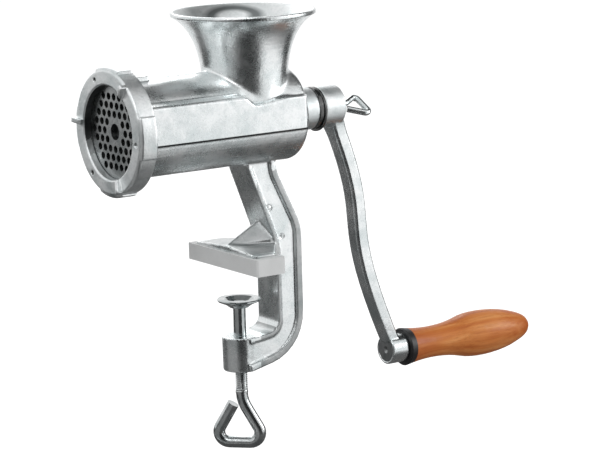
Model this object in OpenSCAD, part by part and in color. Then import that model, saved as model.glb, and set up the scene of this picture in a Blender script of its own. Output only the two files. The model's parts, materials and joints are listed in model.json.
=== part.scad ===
// Hand crank meat grinder that clamps to a table top.
// The frame: X runs from the outlet (-) to the crank (+), Z is up, and the origin is on the clamp
// screw's axis at the underside of the upper jaw, where the table top touches.

/* [Barrel] */
// Height of the barrel's axis above the table top
axis_height = 94; // [90:0.5:105]
// Outside diameter of the barrel
barrel_d = 60; // [59:0.25:62]
// Wall of the barrel round the feed screw
barrel_wall = 3; // [2.5:0.25:3.5]
// Distance from the clamp screw's axis forward to the end of the threaded mouth
mouth_reach = 84; // [80:0.5:90]
// Distance from the clamp screw's axis back to the barrel's end wall
barrel_back = 38; // [36.5:0.5:42]
// Thickness of the barrel's end wall
end_wall = 6; // [4:0.5:8]
// How far the flat side panels reach below the barrel's axis
panel_low = 7.3; // [5:0.1:9]
// How far the flat side panels reach above the barrel's axis
panel_high = 17; // [14:0.5:19]
// Diameter of the bearing hub behind the end wall
hub_d = 27; // [26:0.5:30]
// Length of the bearing hub
hub_len = 19; // [16:0.5:24]

/* [Hopper] */
// Distance of the hopper's axis behind the clamp screw's axis
hopper_x = 9.5; // [6:0.5:10]
// Height of the hopper's rim above the barrel's axis
hopper_rise = 66.4; // [60:0.2:76]
// Diameter of the hopper's rim
rim_d = 90.6; // [84:0.2:100]
// Height of the upright edge of the rim
rim_edge = 2.8; // [2:0.2:4]
// Outside diameter of the hopper's throat
throat_d = 53.2; // [51:0.2:56]
// Wall of the hopper
hopper_wall = 3; // [2.4:0.2:3.6]

/* [Ring nut] */
// Outside diameter of the mouth's thread
thread_d = 70; // [69:0.25:71]
// Outside diameter of the ring nut between its grip lobes
ring_d = 76.8; // [76:0.2:80]
// Length of the ring nut
ring_len = 12.6; // [12:0.2:15]
// Diameter of the round outlet in the ring nut
outlet_d = 57.5; // [54:0.5:58.5]
// Thickness of the lip that holds the hole plate
lip_t = 5.2; // [4.5:0.1:6]
// Height of the grip lobes above the ring nut's side
lobe_h = 1.6; // [1:0.1:2.5]
// Angle that each grip lobe covers
lobe_span = 38; // [30:1:45]
// Height of the three forward lugs
lug_h = 3.6; // [2.5:0.1:5]
// Width of the three forward lugs
lug_w = 3.2; // [2.4:0.2:5]

/* [Hole plate and knife] */
// Diameter of the hole plate
plate_d = 62; // [61:0.25:63]
// Thickness of the hole plate
plate_t = 5; // [4.5:0.1:6]
// Diameter of the mincing holes
hole_d = 4.5; // [3.5:0.1:4.8]
// Distance between neighbouring mincing holes
hole_pitch = 6.15; // [5.9:0.05:6.2]
// Diameter of the hole plate's centre hole
centre_hole_d = 10; // [9.5:0.1:10.5]
// Thickness of the knife
knife_t = 5.5; // [4:0.1:6]
// Width of each knife arm
knife_arm_w = 9; // [7:0.5:11]
// Diameter of the pin that keeps the hole plate from turning
key_d = 3; // [2.5:0.1:3.5]

/* [Feed screw] */
// Pitch of the feed screw's flight
flight_pitch = 25; // [22:0.5:30]
// Thickness of the flight at its edge
flight_edge = 2.6; // [2:0.2:4]
// Thickness of the flight at its root
flight_root = 6; // [5:0.2:8]
// Diameter of the feed screw's core at the knife end
core_front_d = 17; // [16:0.5:20]
// Diameter of the feed screw's core under the hopper
core_back_d = 22; // [20:0.5:26]
// Diameter of the feed screw's bearing journal
journal_d = 14; // [13:0.25:15]
// Width across the square that drives the crank
square_w = 9.6; // [9:0.1:10]
// Width across the square that drives the knife
knife_square_w = 10.6; // [10.6:0.1:11.2]

/* [Rear bearing] */
// Outside diameter of the bush in the hub
bush_d = 19; // [17.5:0.25:20]
// Thickness of the bush's flange
bush_flange_t = 3; // [2:0.2:4]
// Thickness of the washer between bush and crank
crank_washer_t = 1.9; // [1.4:0.1:3]
// Thickness of the thrust washer in front of the end wall
thrust_washer_t = 1.2; // [0.8:0.1:2]

/* [Crank] */
// Distance from the barrel's axis to the grip's axis
crank_radius = 166; // [150:1:180]
// Distance that the grip end of the crank stands back behind the hub end
crank_offset = 50.6; // [44:0.2:60]
// Diameter of the crank's hub boss
crank_boss_d = 26; // [25:0.5:28]
// Length of the crank's hub boss
crank_boss_len = 15.5; // [14:0.5:18]
// Width of the crank arm
arm_w = 12.6; // [11:0.2:14]
// Thickness of the crank arm
arm_t = 9.8; // [8:0.2:11]
// Diameter of the boss that holds the grip's pin
pin_boss_d = 19.2; // [18:0.2:21]
// Length of the boss that holds the grip's pin
pin_boss_len = 13; // [11:0.5:15]

/* [Thumb screw] */
// Thread diameter of the thumb screw
thumb_thread_d = 5; // [4.6:0.1:5.4]
// Wire diameter of the thumb screw's loop
thumb_wire_d = 4.2; // [3.6:0.1:4.4]
// Side of the thumb screw's triangular loop, along the wire's centre
thumb_side = 20.6; // [19:0.2:24]
// Bend radius of the thumb screw's loop
thumb_bend = 2.7; // [2.5:0.1:3]
// Turn of the thumb screw's loop about its own axis
thumb_turn = 28; // [0:1:60]

/* [Grip] */
// Length of the wooden grip
grip_len = 100; // [94:0.5:115]
// Largest diameter of the wooden grip
grip_d = 30.6; // [29:0.2:34]
// Diameter of the grip's neck
neck_d = 21.4; // [20:0.2:23]
// Diameter of the collar in front of the grip
collar_d = 25; // [24.5:0.5:27]
// Thickness of the collar
collar_t = 5; // [3:0.2:7]
// Diameter of the pin that the grip turns on
pin_d = 8; // [7:0.2:9]
// Length of the pin inside the grip
pin_reach = 62; // [50:1:75]

/* [Leg and jaws] */
// Width of the leg's front face
leg_w = 24; // [20:0.5:26]
// Depth of the leg from front to back
leg_depth = 18.4; // [17:0.1:22]
// Distance from the clamp screw's axis back to the leg
clamp_reach = 21.8; // [20:0.2:28]
// Height of the jaw opening, from the upper jaw to the lower boss
jaw_opening = 45; // [40:0.5:55]
// How far the leg's rear flange stands out on each side
flange_out = 0.8; // [0.6:0.1:2]
// Thickness of the leg's rear flange
flange_t = 4.4; // [3:0.2:6]
// Depth of the shallow recess in the leg's sides
side_recess = 1; // [0.4:0.1:1.6]
// Diameter of the lower boss
boss_d = 23; // [21:0.5:26]
// Height of the lower boss
boss_h = 22; // [20:0.5:28]
// Width of the upper jaw
jaw_w = 69; // [66:1:74]
// Thickness of the upper jaw at its edge
jaw_t = 8.8; // [7:0.2:10]

/* [Jaw cover] */
// Width of the jaw cover
cover_w = 80.6; // [78:0.2:88]
// Depth of the jaw cover from front to back
cover_depth = 21.5; // [19:0.5:23]
// Height of the jaw cover
cover_h = 10.5; // [9:0.1:11.5]
// Thickness of the cover's floor under the jaw
cover_floor = 3.2; // [2.4:0.2:4]

/* [Clamp screw] */
// Thread diameter of the clamp screw
rod_d = 8; // [8:0.1:8.4]
// Wire diameter of the clamp screw's loop
loop_wire_d = 7.6; // [7:0.1:7.8]
// Side of the triangular loop, along the wire's centre
loop_side = 36.2; // [34:0.2:41]
// Bend radius of the loop
loop_bend = 6.5; // [6:0.1:7.5]
// Length of the straight rod below the lower boss
rod_below = 15; // [12:0.5:22]
// Turn of the loop about the rod's axis
loop_turn = -45; // [-90:5:90]
// Distance of the pad's rim below the upper jaw
pad_drop = 21; // [14:0.5:26]
// Diameter of the pad
pad_d = 27.8; // [26:0.2:30]
// Height of the pad
pad_h = 5.6; // [5:0.1:6.5]
// Diameter of the pad's hollow
dish_d = 18.6; // [17:0.2:20]

/* [Clearances] */
// Gap between two flat faces that turn or lift apart
face_gap = 0.2; // [0.15:0.05:0.3]
// Radial clearance of a running fit
run_fit = 0.05; // [0.02:0.01:0.09]
// Clearance round the feed screw and the knife in the barrel
feed_gap = 0.6; // [0.4:0.1:1]
// Clearance on each side of a square drive
square_fit = 0.1; // [0.05:0.05:0.2]
// Clearance on each side between the jaw cover and the jaw
cover_fit = 0.1; // [0.05:0.05:0.2]

/* [Hidden] */
$fn = 72;

// Smoothness of bent wire: degrees for each step round a bend, and sides of the section
wire_step = 12;
wire_sides = 24;

// Small overlap that joins two pieces of one solid, or carries a cut past a face
joint = 0.5;
cut = 1;

// Barrel
barrel_r = barrel_d / 2;
bore_r = barrel_r - barrel_wall;
mouth_x = -mouth_reach;
end_wall_x = barrel_back - end_wall;
hub_back = barrel_back + hub_len;
hub_r = hub_d / 2;
hub_flare = 3;
barrel_edge = 3;
panel_out = 0.5;
panel_y = barrel_r + panel_out;
panel_bevel = 1.4;
panel_corner = 7;
seam_h = 0.6;
seam_w = 1.6;
thread_edge = 1;
shoulder_rise = 3;
shoulder_len = 2.4;
hub_fillet = 2;
panel_inset = 8;
panel_crown = 1.2;
notch_start = [20.5, 0.5];
notch_tip = [12.5, 6];
notch_end = [8, 3.6];

// Hopper; each flare is how far its curve leans, in radius and in height
rim_r = rim_d / 2;
rim_step = 0.8;
rim_bevel = 0.6;
rim_land = 1.6;
rim_flare = [12.4, 7];
throat_r = throat_d / 2;
throat_flare = [0.2, 0.62];
throat_top = 0.3;
throat_foot = [1.3, 11];

// Hole plate, ring nut and knife, from the mouth outwards
plate_proud = 1;
plate_front = mouth_x - plate_proud;
plate_back = plate_front + plate_t;
plate_gap = 0.3;
seat_x = plate_back + face_gap;
lip_back = plate_front - face_gap;
ring_front = lip_back - lip_t;
ring_back = ring_front + ring_len;
ring_r = ring_d / 2;
lobe_r = ring_r + lobe_h;
lobe_count = 4;
lug_count = 3;
lug_first = 7;
dimple_r = 1.5;
dimple_deep = 1.4;
outlet_r = outlet_d / 2;
outlet_bevel = 0.8;
thread_r = thread_d / 2;
thread_end = ring_back - face_gap;
key_rise = bore_r + key_d;
key_back = seat_x + 8;
key_boss_w = 11;
key_boss_len = 15;
key_boss_r = barrel_r + 2.8;
ring_edge = 0.6;
ring_front_edge = 1;
lobe_root = 1.6;
lug_slope = 2.4;
lug_low = 0.45;
lug_mid = 0.7;
lug_tip = 0.8;
hole_rings = 4;
knife_front = plate_back + face_gap;
knife_back = knife_front + knife_t;
knife_r = bore_r - feed_gap;
knife_hub_r = knife_square_w / 2 * sqrt(2) + 3.4;

// Feed screw
flight_r = bore_r - feed_gap;
flight_sink = 3;
flight_steps = 20;
collar_x = end_wall_x - face_gap - thrust_washer_t;
screw_collar_t = 4;
screw_collar_r = journal_d / 2 + 8;
flight_front = knife_back + face_gap + flight_root / 2;
flight_back = collar_x - screw_collar_t;
journal_r = journal_d / 2;
stud_r = 4;
stud_deep = 14;
stud_pin_r = centre_hole_d / 2 - run_fit;
stud_pin_short = 3;
stud_pin_edge = 0.6;
stud_pin_len = knife_front - plate_front - stud_pin_short;
knife_bevel = 0.6;
washer_gap = 0.2;

// Crank
bush_r = bush_d / 2;
bush_edge = 0.5;
flange_back = hub_back + bush_flange_t;
crank_front = flange_back + face_gap + crank_washer_t;
crank_back = crank_front + crank_boss_len;
crank_wall = 3;
socket_deep = crank_boss_len - crank_wall;
square_back = crank_front + socket_deep - 2 * face_gap;
crank_boss_r = crank_boss_d / 2;
grip_z = axis_height - crank_radius;
pin_boss_x = crank_front + crank_offset;
pin_boss_back = pin_boss_x + pin_boss_len;
pin_boss_r = pin_boss_d / 2;
arm_start = [9.8, -3];
arm_upper = [0.75, 0.55];
arm_lower = [0.93, 0.64];
arm_flare_end = 0.08;
pin_boss_edge = 0.5;
arm_flare = 9;
arm_taper = 0.9;
arm_rings = 28;
arm_edge = 1.8;
boss_edge = 0.8;

// Thumb screw
thumb_reach = 11;
thumb_hole_spare = 2;
thumb_straight = 5.4;
thumb_neck_bend = 6.3;
thumb_shift = 6.8;
thumb_gap = 4.6;
thumb_shoulder_r = 3.6;
thumb_shoulder_t = 1.2;

// Grip and its pin
collar_front = pin_boss_back + face_gap;
grip_front = collar_front + collar_t;
pin_r = pin_d / 2;
pin_head_r = pin_boss_r - 1.7;
pin_head_t = 2;
pin_dimple_r = 2.6;
pin_dimple_tip = 0.6;
pin_dimple_deep = 1.1;
pin_head_sunk = 0.4;
collar_edge = 0.7;
clip_t = 1;
clip_r = pin_r + 1.6;
clip_groove = 0.6;
clip_x = grip_front + pin_reach - 4;
grip_neck_r = neck_d / 2;
belly_r = grip_d / 2;
grip_waist = [(grip_neck_r + belly_r) / 2 + 0.3, 0.42];
grip_shoulder = [0.8 * belly_r, 0.82];

// Leg
leg_back = clamp_reach + leg_depth;
leg_top_front = clamp_reach - 23.8;
leg_top_depth = 24.7;
leg_knee_front = 11;
leg_knee_back = 23;
leg_rim_w = 2.6;
leg_sink = 10;
leg_shoulder = 4.4;
leg_shoulder_bend = 20;
leg_bend = 30;
leg_foot_bend = [7.5, 31];
leg_foot_rise = 9.4;
boss_top = -jaw_opening;
boss_bottom = boss_top - boss_h;
boss_r = boss_d / 2;
boss_draft = 0.3;

// Upper jaw and its cover
cover_reach = 11.7;
cover_wall = 2.1;
cover_back = cover_depth - cover_reach;
jaw_front = cover_wall - cover_reach;
jaw_bottom = cover_floor;
jaw_top = jaw_bottom + jaw_t;
jaw_crown = 2.2;
jaw_back = cover_back - 4;
jaw_corner = 2.4;
jaw_bend = 3;
jaw_root = clamp_reach - 2;
jaw_root_half = leg_w / 2 + 1;
gusset_top = jaw_top + 16;
gusset_side = jaw_top + 4;
gusset_toe = [2, 1, 1.9];
gusset_toe_x = jaw_front + 1.2;
gusset_deep = 4;

// Clamp screw and pad
rod_r = rod_d / 2;
pad_top = -pad_drop;
pad_bottom = pad_top - pad_h;
pad_floor = 2;
pad_rim_t = 1.6;
rod_top = pad_bottom - face_gap;
rod_bottom = boss_bottom - rod_below;
neck_r = 2.6;
rivet_r = 4.2;
rivet_t = 1.6;
rivet_draw = 1;
pad_edge = 0.5;
pad_flare = 0.6;
floor_spare = [2, 1.4];
loop_neck_bend = 19;
loop_shift = 4.4;
loop_gap = 7.2;

// Unit vector along v
function unit(v) = v / norm(v);

// Left-hand normal of a 2D direction
function left(v) = [-v[1], v[0]];

// Points of the arc with radius r that rounds the corner b between a and c
function corner_arc(a, b, c, r, steps = 7) =
    let (u = unit(a - b), w = unit(c - b))
    let (half = acos(u * w) / 2)
    let (centre = b + unit(u + w) * r / sin(half))
    let (from = b + u * r / tan(half) - centre, to = b + w * r / tan(half) - centre)
    let (sweep = 180 - 2 * half, side = sign(from[0] * to[1] - from[1] * to[0]))
    [for (i = [0:steps])
        let (t = side * sweep * i / steps)
        centre + [from[0] * cos(t) - from[1] * sin(t), from[0] * sin(t) + from[1] * cos(t)]];

// Open path through corners [x, y, radius], each corner rounded by its radius
function rounded(corners) = [
    for (i = [0:len(corners) - 1])
        let (c = corners[i], here = [c[0], c[1]])
        each (i == 0 || i == len(corners) - 1 || c[2] == 0)
            ? [here]
            : corner_arc([corners[i - 1][0], corners[i - 1][1]], here,
                [corners[i + 1][0], corners[i + 1][1]], c[2])
];

// Path moved sideways to its left by d
function shifted(path, d) = [
    for (i = [0:len(path) - 1])
        let (a = path[max(i - 1, 0)], b = path[min(i + 1, len(path) - 1)])
        path[i] + left(unit(b - a)) * d
];

function reversed(path) = [for (i = [len(path) - 1:-1:0]) path[i]];

// Point at t on the cubic curve with control points p
function bezier(p, t) =
    pow(1 - t, 3) * p[0] + 3 * pow(1 - t, 2) * t * p[1]
    + 3 * (1 - t) * t * t * p[2] + pow(t, 3) * p[3];

function bezier_path(p, steps) = [for (i = [0:steps]) bezier(p, i / steps)];

// Solid through a row of rings of 3D points; seen from the last ring each runs anticlockwise
module skin(rings) {
    n = len(rings[0]);
    last = len(rings) - 1;
    points = [for (ring = rings) each ring];
    sides = [
        for (i = [0:last - 1], j = [0:n - 1])
            let (k = (j + 1) % n)
            let (a = i * n, b = (i + 1) * n)
            each [[a + j, b + j, a + k], [a + k, b + j, b + k]]
    ];
    front = [for (j = [0:n - 1]) j];
    back = [for (j = [n - 1:-1:0]) last * n + j];
    polyhedron(points, concat([front, back], sides));
}

// Children built along +Z are laid along +X, starting at x on the barrel's axis
module along_barrel(x) {
    translate([x, 0, axis_height]) rotate([0, 90, 0]) children();
}

// The same on the axis of the hole plate's key
module along_key(x) {
    translate([x, 0, axis_height + key_rise]) rotate([0, 90, 0]) children();
}

// The same on the grip's axis
module along_grip(x) {
    translate([x, 0, grip_z]) rotate([0, 90, 0]) children();
}

// Outline in X and Z, made w wide in Y about the middle plane
module upright(w) {
    rotate([90, 0, 0]) linear_extrude(w, center = true) children();
}

// Solid of revolution about the barrel's axis from points [radius, x]
module turned(points) {
    along_barrel(0) rotate_extrude() polygon(points);
}

// Ring of radii inside and outside, h thick
module ring(inside, outside, h) {
    difference() {
        cylinder(r = outside, h = h);
        translate([0, 0, -cut]) cylinder(r = inside, h = h + 2 * cut);
    }
}

// Point c = [across, along n] of a section that stands at p in the XZ plane
function placed(p, n, c) = [p[0] + n[0] * c[1], c[0], p[1] + n[1] * c[1]];

// Middle line of a bent wire as [point, heading]; each step is [straight, turn, bend radius]
function wire_line(steps, p = [0, 0], a = 90, i = 0) =
    let (q = p + steps[i][0] * [cos(a), sin(a)], turn = steps[i][1])
    let (arm = sign(turn) * steps[i][2], centre = q + arm * [sin(a), -cos(a)])
    let (n = ceil(abs(turn) / wire_step), b = a - turn)
    i == len(steps) - 1
        ? [[q, a]]
        : concat(
            [for (j = [0:n]) let (h = a - turn * j / n) [centre - arm * [sin(h), -cos(h)], h]],
            wire_line(steps, centre - arm * [sin(b), -cos(b)], b, i + 1)
        );

// Wire of diameter d that starts along +Z and is bent in the XZ plane
module wire(d, steps) {
    skin([
        for (s = concat([[[0, 0], 90]], wire_line(steps)))
            let (n = [-sin(s[1]), cos(s[1])])
            [for (k = [0:wire_sides - 1])
                let (t = k * 360 / wire_sides)
                placed(s[0], n, d / 2 * [cos(t), sin(t)])]
    ]);
}

// Wire that leaves its shank and runs round an open triangle with equal sides;
// its first side crosses the shank's axis at a distance of shift from the apex
module triangle_loop(d, straight, neck_bend, side, shift, bend, gap) {
    neck_tangent = neck_bend * tan(15);
    tangent = bend * tan(60);
    wire(d, [
        [straight, 30, neck_bend],
        [side - shift - neck_tangent - tangent, -120, bend],
        [side - 2 * tangent, -120, bend],
        [side - tangent - gap, 0, bend]
    ]);
}

// ---- housing: one casting of barrel, hopper, leg, jaw and lower boss ----

module barrel_solid() {
    turned(concat(
        [[0, mouth_x], [thread_r - thread_edge, mouth_x], [thread_r, mouth_x + thread_edge],
            [thread_r, thread_end], [barrel_r + shoulder_rise, thread_end],
            [barrel_r, thread_end + shoulder_len]],
        corner_arc([barrel_r, mouth_x], [barrel_r, barrel_back], [0, barrel_back], barrel_edge),
        [[hub_r + hub_flare, barrel_back]],
        corner_arc([hub_r + hub_flare, barrel_back], [hub_r, barrel_back + hub_flare],
            [hub_r, hub_back], hub_fillet),
        [[hub_r, hub_back - boss_edge], [hub_r - boss_edge, hub_back], [0, hub_back]]
    ));
}

// Flat raised panels on both sides of the barrel, with a notch under the hopper's throat
module side_panels() {
    difference() {
        panel_block();
        translate([hopper_x, 0, axis_height]) upright(barrel_d * 2) polygon([
            [-notch_start[0], barrel_r], [-notch_start[0], panel_high + notch_start[1]],
            [-notch_tip[0], panel_high - notch_tip[1]],
            [notch_end[0], panel_high - notch_end[1]],
            [barrel_back, panel_high - notch_end[1]], [barrel_back, barrel_r]
        ]);
    }
}

// The panels before their upper edge is cut down under the hopper
module panel_block() {
    intersection() {
        translate([thread_end, 0, axis_height]) rotate([90, 0, 90])
            linear_extrude(barrel_back - thread_end)
                for (side = [-1, 1]) polygon([
                    [0, -panel_low], [side * panel_y, -panel_low],
                    [side * panel_y, panel_high - panel_bevel],
                    [side * (panel_y - panel_bevel), panel_high],
                    [side * (panel_y - panel_inset), panel_high + panel_crown],
                    [0, panel_high + panel_crown]
                ]);
        translate([0, 0, axis_height - panel_low - cut])
            linear_extrude(panel_low + panel_high + 2 * cut)
                polygon(concat(
                    [[mouth_x, panel_y + cut], [mouth_x, -panel_y - cut]],
                    corner_arc([mouth_x, -panel_y - cut], [barrel_back, -panel_y - cut],
                        [barrel_back, 0], panel_corner),
                    corner_arc([barrel_back, 0], [barrel_back, panel_y + cut],
                        [mouth_x, panel_y + cut], panel_corner)
                ));
    }
}

// Casting seam on top of the barrel, and the boss over the plate's key
module top_seam() {
    translate([thread_end, -seam_w / 2, axis_height])
        cube([barrel_back - barrel_edge - thread_end, seam_w, barrel_r + seam_h]);
    intersection() {
        along_barrel(thread_end) cylinder(r = key_boss_r, h = key_boss_len);
        translate([thread_end, -key_boss_w / 2, axis_height])
            cube([key_boss_len, key_boss_w, barrel_r * 2]);
    }
}

// Outer curve of the trumpet, from the rim down to the throat, as [radius, height]
hopper_curve = bezier_path([
    [rim_r - rim_step, hopper_rise - rim_edge],
    [rim_r - rim_flare[0], hopper_rise - rim_edge - rim_flare[1]],
    [throat_r + throat_flare[0], hopper_rise * throat_flare[1]],
    [throat_r, hopper_rise * throat_top]
], 16);

module hopper_solid() {
    translate([hopper_x, 0, axis_height]) rotate_extrude()
        polygon(concat(
            [[0, hopper_rise], [rim_r - rim_bevel, hopper_rise], [rim_r, hopper_rise - rim_bevel],
                [rim_r, hopper_rise - rim_edge]],
            hopper_curve,
            [[throat_r + throat_foot[0], throat_foot[1]], [throat_r, 0], [0, 0]]
        ));
}

// The space inside the hopper, open at the top and down into the barrel; the end wall stays whole
module hopper_hollow() {
    inner = shifted(hopper_curve, -hopper_wall);
    difference() {
        translate([hopper_x, 0, axis_height]) rotate_extrude()
            polygon(concat(
                [[0, hopper_rise + cut], [rim_r - rim_land, hopper_rise + cut],
                    [rim_r - rim_land, hopper_rise]],
                [for (p = inner) if (p[0] < rim_r - rim_land - rim_bevel) p],
                [[throat_r - hopper_wall - throat_foot[0], 0], [0, 0]]
            ));
        along_barrel(end_wall_x) cylinder(r = bore_r + barrel_wall / 2, h = end_wall);
    }
}

// Front and rear edges of the leg, from the barrel down to the lower boss
leg_front = rounded([
    [leg_top_front, axis_height - barrel_r + leg_sink, 0],
    [clamp_reach, leg_knee_front, leg_bend],
    [clamp_reach, boss_top + 2, leg_foot_bend[0]],
    [0, boss_top - boss_edge, 0]
]);
leg_rear = rounded([
    [leg_top_front + leg_top_depth, axis_height - barrel_r + leg_sink, 0],
    [leg_top_front + leg_top_depth, axis_height - barrel_r - leg_shoulder, leg_shoulder_bend],
    [leg_back, leg_knee_back, leg_bend],
    [leg_back, boss_bottom + leg_foot_rise, leg_foot_bend[1]],
    [0, boss_bottom + boss_draft, 0]
]);

module leg_solid() {
    upright(leg_w - 2 * side_recess) polygon(concat(leg_front, reversed(leg_rear)));
    upright(leg_w)
        polygon(concat(leg_front, reversed(shifted(leg_front, leg_rim_w))));
    upright(leg_w + 2 * flange_out)
        polygon(concat(leg_rear, reversed(shifted(leg_rear, -flange_t))));
}

module lower_boss() {
    translate([0, 0, boss_bottom]) {
        cylinder(r1 = boss_r - boss_edge, r2 = boss_r - boss_draft, h = boss_edge);
        translate([0, 0, boss_edge])
            cylinder(r1 = boss_r - boss_draft, r2 = boss_r, h = boss_h - boss_edge);
    }
}

// Plan of the upper jaw, from its front edge back into the leg, larger all round by grow
module jaw_plan(grow = 0) {
    half = jaw_w / 2 + grow;
    root = jaw_root_half + grow;
    tail = leg_w / 2 - 2;
    front = rounded([
        [jaw_root, -root, 0], [jaw_back, -half, jaw_bend],
        [jaw_front - grow, -half, jaw_corner], [jaw_front - grow, half, jaw_corner],
        [jaw_back, half, jaw_bend], [jaw_root, root, 0]
    ]);
    polygon(concat(front, [[clamp_reach + 3, tail], [clamp_reach + 3, -tail]]));
}

module upper_jaw() {
    intersection() {
        translate([0, 0, jaw_bottom]) linear_extrude(jaw_t + jaw_crown + cut) jaw_plan();
        translate([-cover_reach, 0, 0]) rotate([90, 0, 90])
            linear_extrude(cover_reach + leg_back)
                polygon([
                    [-jaw_w, jaw_bottom], [jaw_w, jaw_bottom], [jaw_w, jaw_top - jaw_crown],
                    [jaw_w / 2, jaw_top], [0, jaw_top + jaw_crown], [-jaw_w / 2, jaw_top],
                    [-jaw_w, jaw_top - jaw_crown]
                ]);
    }
}

// Sloped web that braces the jaw against the leg
module jaw_gusset() {
    tail = leg_w / 2 - 0.5;
    hull() {
        translate([gusset_toe_x, -gusset_toe[1] / 2, jaw_top]) cube(gusset_toe);
        translate([clamp_reach - gusset_deep, -tail, jaw_top - 1])
            cube([gusset_deep, 2 * tail, gusset_side - jaw_top + 1]);
        translate([clamp_reach - gusset_deep, -1, gusset_top - 2]) cube([gusset_deep, 2, 2]);
    }
}

module housing() {
    color("silver") difference() {
        union() {
            barrel_solid();
            side_panels();
            top_seam();
            hopper_solid();
            leg_solid();
            lower_boss();
            upper_jaw();
            jaw_gusset();
        }
        along_barrel(seat_x - joint) cylinder(r = bore_r, h = end_wall_x - seat_x + joint);
        along_barrel(mouth_x - cut)
            cylinder(r = plate_d / 2 + plate_gap, h = seat_x - mouth_x + cut);
        along_barrel(end_wall_x - cut)
            cylinder(r = bush_r + run_fit, h = end_wall + hub_len + 2 * cut);
        along_key(mouth_x - cut) cylinder(d = key_d, h = key_back - mouth_x + cut);
        hopper_hollow();
        translate([0, 0, boss_bottom - cut]) cylinder(r = rod_r + run_fit, h = boss_h + 2 * cut);
    }
}

// ---- jaw cover: plastic cap under and round the upper jaw ----

module jaw_cover() {
    color("gainsboro") difference() {
        translate([-cover_reach, 0, 0]) linear_extrude(cover_h)
            polygon(rounded([
                [cover_depth, -1, 0], [cover_depth, -cover_w / 2, 2.5], [0, -cover_w / 2, 1.5],
                [0, cover_w / 2, 1.5], [cover_depth, cover_w / 2, 2.5], [cover_depth, 1, 0]
            ]));
        translate([0, 0, cover_floor]) linear_extrude(cover_h) jaw_plan(cover_fit);
    }
}

// ---- hole plate and its key ----

module plate_key() {
    color("dimgray")
        along_key(mouth_x) cylinder(d = key_d, h = key_back - mouth_x);
}

// Hexagonal field of holes with rows along Y; the centre and its six neighbours stay solid
module mincing_holes() {
    for (row = [-hole_rings:hole_rings], i = [-hole_rings:hole_rings])
        if (abs(row + i) <= hole_rings && max(abs(row), abs(i), abs(row + i)) > 1)
            translate([-row * hole_pitch * sin(60), (i + row / 2) * hole_pitch, -cut])
                cylinder(d = hole_d, h = plate_t + 2 * cut, $fn = 24);
}

module hole_plate() {
    color("slategray") along_barrel(plate_front) difference() {
        cylinder(d = plate_d, h = plate_t);
        mincing_holes();
        translate([0, 0, -cut]) cylinder(d = centre_hole_d, h = plate_t + 2 * cut);
        translate([-key_rise, 0, -cut]) {
            cylinder(d = key_d + 2 * plate_gap, h = plate_t + 2 * cut);
            translate([-plate_d, -key_d / 2 - plate_gap, 0])
                cube([plate_d, key_d + 2 * plate_gap, plate_t + 2 * cut]);
        }
    }
}

// ---- ring nut ----

module ring_nut_lug() {
    rotate([90, 0, 0]) linear_extrude(lug_w, center = true)
        polygon([
            [outlet_r + outlet_bevel, joint], [outlet_r + outlet_bevel, -lug_low * lug_h],
            [outlet_r + lug_slope, -lug_mid * lug_h], [ring_r - lug_slope, -lug_h],
            [ring_r - ring_edge, -lug_h], [ring_r, -lug_tip * lug_h], [ring_r, joint]
        ]);
}

module ring_nut() {
    color("lightgray") difference() {
        union() {
            turned([
                [outlet_r, lip_back], [outlet_r, ring_front + outlet_bevel],
                [outlet_r + outlet_bevel, ring_front], [ring_r - ring_front_edge, ring_front],
                [ring_r, ring_front + ring_front_edge], [ring_r, ring_back - ring_edge],
                [ring_r - ring_edge, ring_back],
                [thread_r + run_fit, ring_back], [thread_r + run_fit, lip_back]
            ]);
            along_barrel(0)
                for (i = [0:lobe_count - 1]) rotate(i * 360 / lobe_count - lobe_span / 2)
                    rotate_extrude(angle = lobe_span)
                        polygon([
                            [ring_r - lobe_root, ring_front + ring_edge],
                            [lobe_r - ring_front_edge, ring_front + ring_edge],
                            [lobe_r, ring_front + lobe_root], [lobe_r, ring_back - lobe_root],
                            [lobe_r - ring_edge, ring_back - ring_edge],
                            [ring_r - lobe_root, ring_back - ring_edge]
                        ]);
            along_barrel(ring_front)
                for (i = [0:lug_count - 1]) rotate(90 + lug_first + i * 360 / lug_count)
                    ring_nut_lug();
        }
        along_barrel(ring_front - cut)
            for (i = [0:lug_count - 1]) rotate(90 + lug_first + (i + 0.5) * 360 / lug_count)
                translate([(outlet_r + ring_r) / 2, 0, 0])
                    cylinder(r = dimple_r, h = cut + dimple_deep, $fn = 24);
    }
}

// ---- feed screw, stud, knife and washers ----

module flight() {
    turns = (flight_back - flight_front) / flight_pitch;
    steps = ceil(turns * flight_steps);
    core_r = min(core_front_d, core_back_d) / 2 - flight_sink;
    section = [
        [core_r, -flight_root / 2], [flight_r, -flight_edge / 2],
        [flight_r, flight_edge / 2], [core_r, flight_root / 2]
    ];
    skin([
        for (i = [0:steps])
            let (a = -i / steps * turns * 360, x = i / steps * turns * flight_pitch)
            [for (p = section) [p[0] * cos(a), p[0] * sin(a), x + p[1]]]
    ]);
}

module square_bar(w, h) {
    translate([-w / 2, -w / 2, 0]) cube([w, w, h]);
}

module feed_screw() {
    core_start = knife_back + face_gap;
    color("gainsboro") difference() {
        union() {
            along_barrel(flight_front) flight();
            along_barrel(core_start)
                cylinder(d1 = core_front_d, d2 = core_back_d, h = flight_back - core_start);
            along_barrel(flight_back) cylinder(r = screw_collar_r, h = screw_collar_t);
            along_barrel(collar_x - joint)
                cylinder(r = journal_r, h = crank_front - collar_x + joint);
            along_barrel(crank_front - joint)
                square_bar(square_w, square_back - crank_front + joint);
        }
        along_barrel(core_start - cut) cylinder(r = stud_r, h = stud_deep + cut);
        along_barrel(crank_back - crank_wall - thumb_reach - thumb_hole_spare)
            cylinder(d = thumb_thread_d + 2 * run_fit, h = crank_boss_len + thumb_reach);
    }
}

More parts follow.
